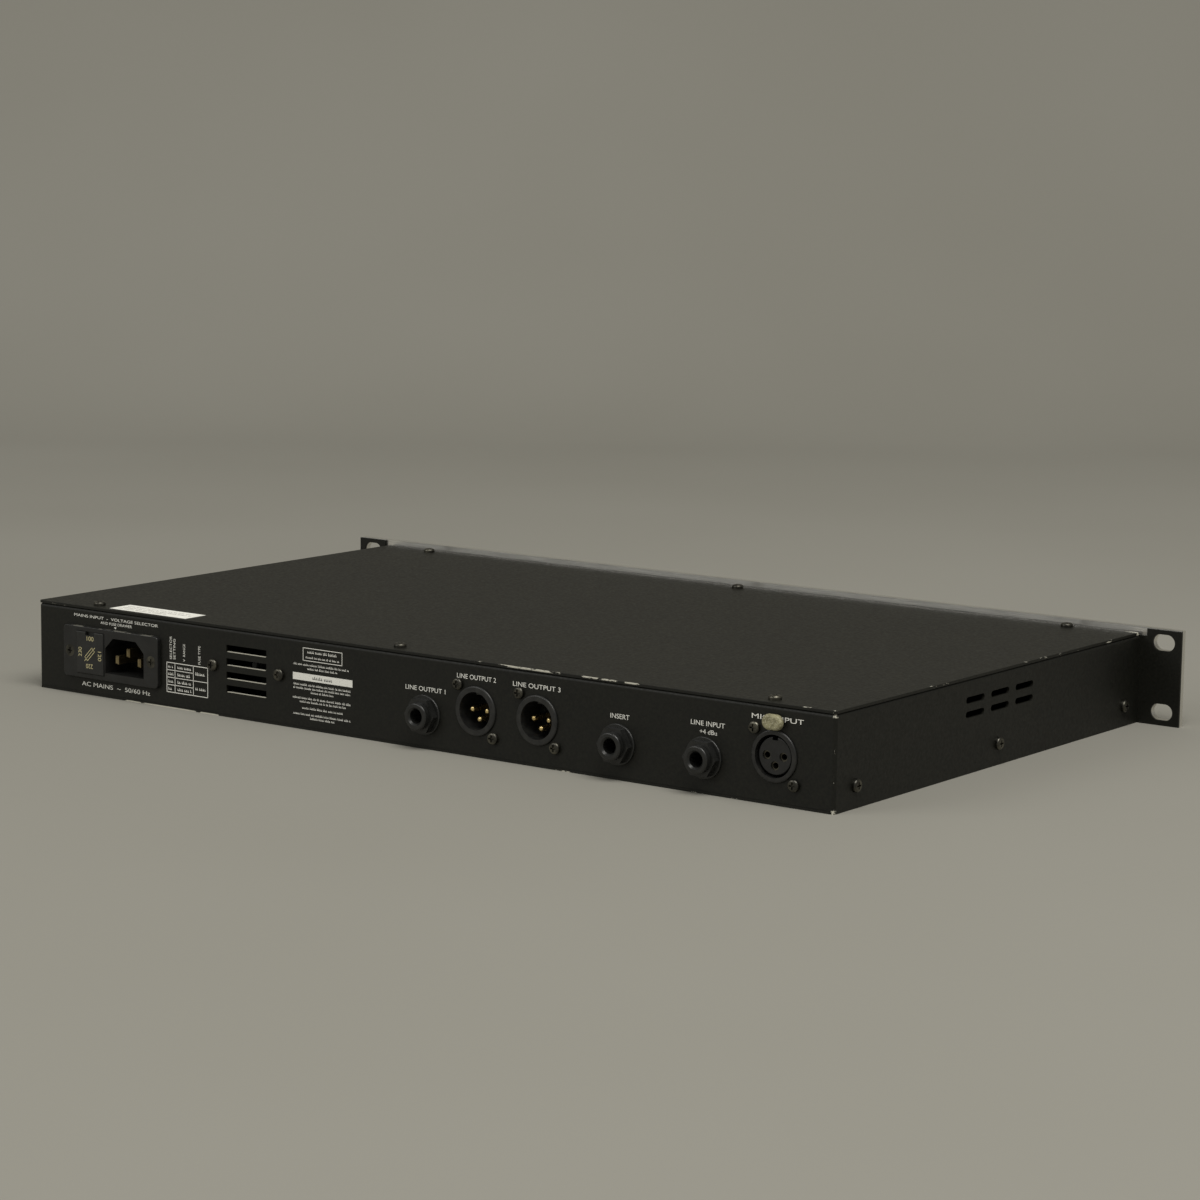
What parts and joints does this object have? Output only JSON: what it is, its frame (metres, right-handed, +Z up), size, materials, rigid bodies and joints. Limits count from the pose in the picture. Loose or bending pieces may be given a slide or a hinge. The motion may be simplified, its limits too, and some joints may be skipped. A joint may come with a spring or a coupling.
{
  "type": "rack effects unit",
  "caption": "One-unit 19-inch audio processor in a black folded-steel case, with rack ears, mains inlet, XLR and jack sockets on the rear.",
  "frame": {"origin": "centre of the four rack slots, on the rear face of the ears", "axes": "+X to the right as seen from the front, +Y to the rear, +Z up"},
  "size_m": [0.4826, 0.2808, 0.044],
  "materials": {
    "black_paint": "satin, fine texture",
    "black_screw": "black zinc",
    "blade_metal": "bright",
    "board_green": "glass-epoxy with mask",
    "bracket_metal": "mill finish",
    "brushed_aluminium": "brushed",
    "button_plastic": "moulded grey",
    "can_sleeve": "sleeved cans",
    "chip_black": "moulded epoxy",
    "drawer_plastic": "moulded",
    "fuse_glass": "clear tube, metal caps",
    "gold_contact": "gold plated",
    "header_plastic": "moulded",
    "inlet_plastic": "moulded",
    "insert_plastic": "moulded",
    "jack_plastic": "moulded",
    "knob_plastic": "soft black",
    "lamp_green": "tinted lens",
    "lamp_red": "tinted lens",
    "latch_plastic": "aged, yellowed",
    "pad_rubber": "sheet",
    "paper_white": "paper",
    "pot_metal": "plated can",
    "ribbon_grey": "flat cable",
    "shaft_metal": "turned",
    "silver_contact": "silver plated",
    "switch_plastic": "moulded",
    "transformer_tape": "varnished tape winding",
    "window_plastic": "smoked",
    "wire_sleeve": "insulated wire",
    "xlr_black": "black zinc die-casting",
    "zinc_plate": "zinc plated"
  },
  "bodies": {
    "chassis": {"base_tray": "black_paint", "board_screws": "zinc_plate", "button_switches": "header_plastic", "capacitors": "can_sleeve", "case_screws": "black_screw", "chassis_wrap": "black_paint", "chips": "chip_black", "clinch_nuts": "zinc_plate", "control_board": "board_green", "display_window": "window_plastic", "fascia": "brushed_aluminium", "front_subpanel": "black_paint", "headers": "header_plastic", "heat_sink_bracket": "bracket_metal", "indicators": "lamp_red", "inlet_blades": "blade_metal", "inlet_screws": "black_screw", "jack_nuts": "jack_plastic", "jack_socket_1": "jack_plastic", "jack_socket_2": "jack_plastic", "jack_socket_3": "jack_plastic", "jack_washers": "jack_plastic", "main_board": "board_green", "mains_inlet": "inlet_plastic", "mains_wires": "wire_sleeve", "meter_segments": "lamp_green", "paper_label": "paper_white", "pot_nuts": "zinc_plate", "pots": "pot_metal", "power_switch": "switch_plastic", "regulators": "chip_black", "ribbon_cable": "ribbon_grey", "standoffs": "zinc_plate", "top_cover": "black_paint", "transformer_bolt": "zinc_plate", "transformer_pads": "pad_rubber", "transformer_washer": "zinc_plate", "transformer_winding": "transformer_tape", "xlr_mic_contacts": "silver_contact", "xlr_mic_insert": "insert_plastic", "xlr_mic_shell": "xlr_black", "xlr_out_1_shell": "xlr_black", "xlr_out_2_shell": "xlr_black", "xlr_pins": "gold_contact", "xlr_screws": "black_screw"},
    "fuse_carrier": {"fuse_drawer": "drawer_plastic", "fuse": "fuse_glass"},
    "mic_latch": {"xlr_latch": "latch_plastic"},
    "rocker": {"power_rocker": "switch_plastic"},
    "control_1": {"knob_1": "knob_plastic", "pot_shaft_1": "shaft_metal"},
    "control_2": {"knob_2": "knob_plastic", "pot_shaft_2": "shaft_metal"},
    "control_3": {"knob_3": "knob_plastic", "pot_shaft_3": "shaft_metal"},
    "control_4": {"knob_4": "knob_plastic", "pot_shaft_4": "shaft_metal"},
    "push_1": {"button_1": "button_plastic"},
    "push_2": {"button_2": "button_plastic"},
    "push_3": {"button_3": "button_plastic"}
  },
  "joints": [
    {"name": "fuse_drawer_slide", "type": "slide", "parent": "chassis", "child": "fuse_carrier", "axis": [0, 1, 0], "range_m": [0, 0.022]},
    {"name": "mic_latch_press", "type": "slide", "parent": "chassis", "child": "mic_latch", "axis": [0, 0, -1], "range_m": [0, 0.0016], "stiffness_N_per_m": 400},
    {"name": "power_rocker_tilt", "type": "hinge", "parent": "chassis", "child": "rocker", "pos_m": [0.196, -0.0027, 0], "axis": [1, 0, 0], "range_deg": [0, 16]},
    {"name": "knob_1_turn", "type": "hinge", "parent": "chassis", "child": "control_1", "pos_m": [-0.176, -0.005, 0], "axis": [0, -1, 0], "range_deg": [-150, 150]},
    {"name": "knob_2_turn", "type": "hinge", "parent": "chassis", "child": "control_2", "pos_m": [-0.118, -0.005, 0], "axis": [0, -1, 0], "range_deg": [-150, 150]},
    {"name": "knob_3_turn", "type": "hinge", "parent": "chassis", "child": "control_3", "pos_m": [-0.06, -0.005, 0], "axis": [0, -1, 0], "range_deg": [-150, 150]},
    {"name": "knob_4_turn", "type": "hinge", "parent": "chassis", "child": "control_4", "pos_m": [0.092, -0.005, 0], "axis": [0, -1, 0], "range_deg": [-150, 150]},
    {"name": "button_1_press", "type": "slide", "parent": "chassis", "child": "push_1", "axis": [0, 1, 0], "range_m": [0, 0.0025], "stiffness_N_per_m": 300},
    {"name": "button_2_press", "type": "slide", "parent": "chassis", "child": "push_2", "axis": [0, 1, 0], "range_m": [0, 0.0025], "stiffness_N_per_m": 300},
    {"name": "button_3_press", "type": "slide", "parent": "chassis", "child": "push_3", "axis": [0, 1, 0], "range_m": [0, 0.0025], "stiffness_N_per_m": 300}
  ]
}
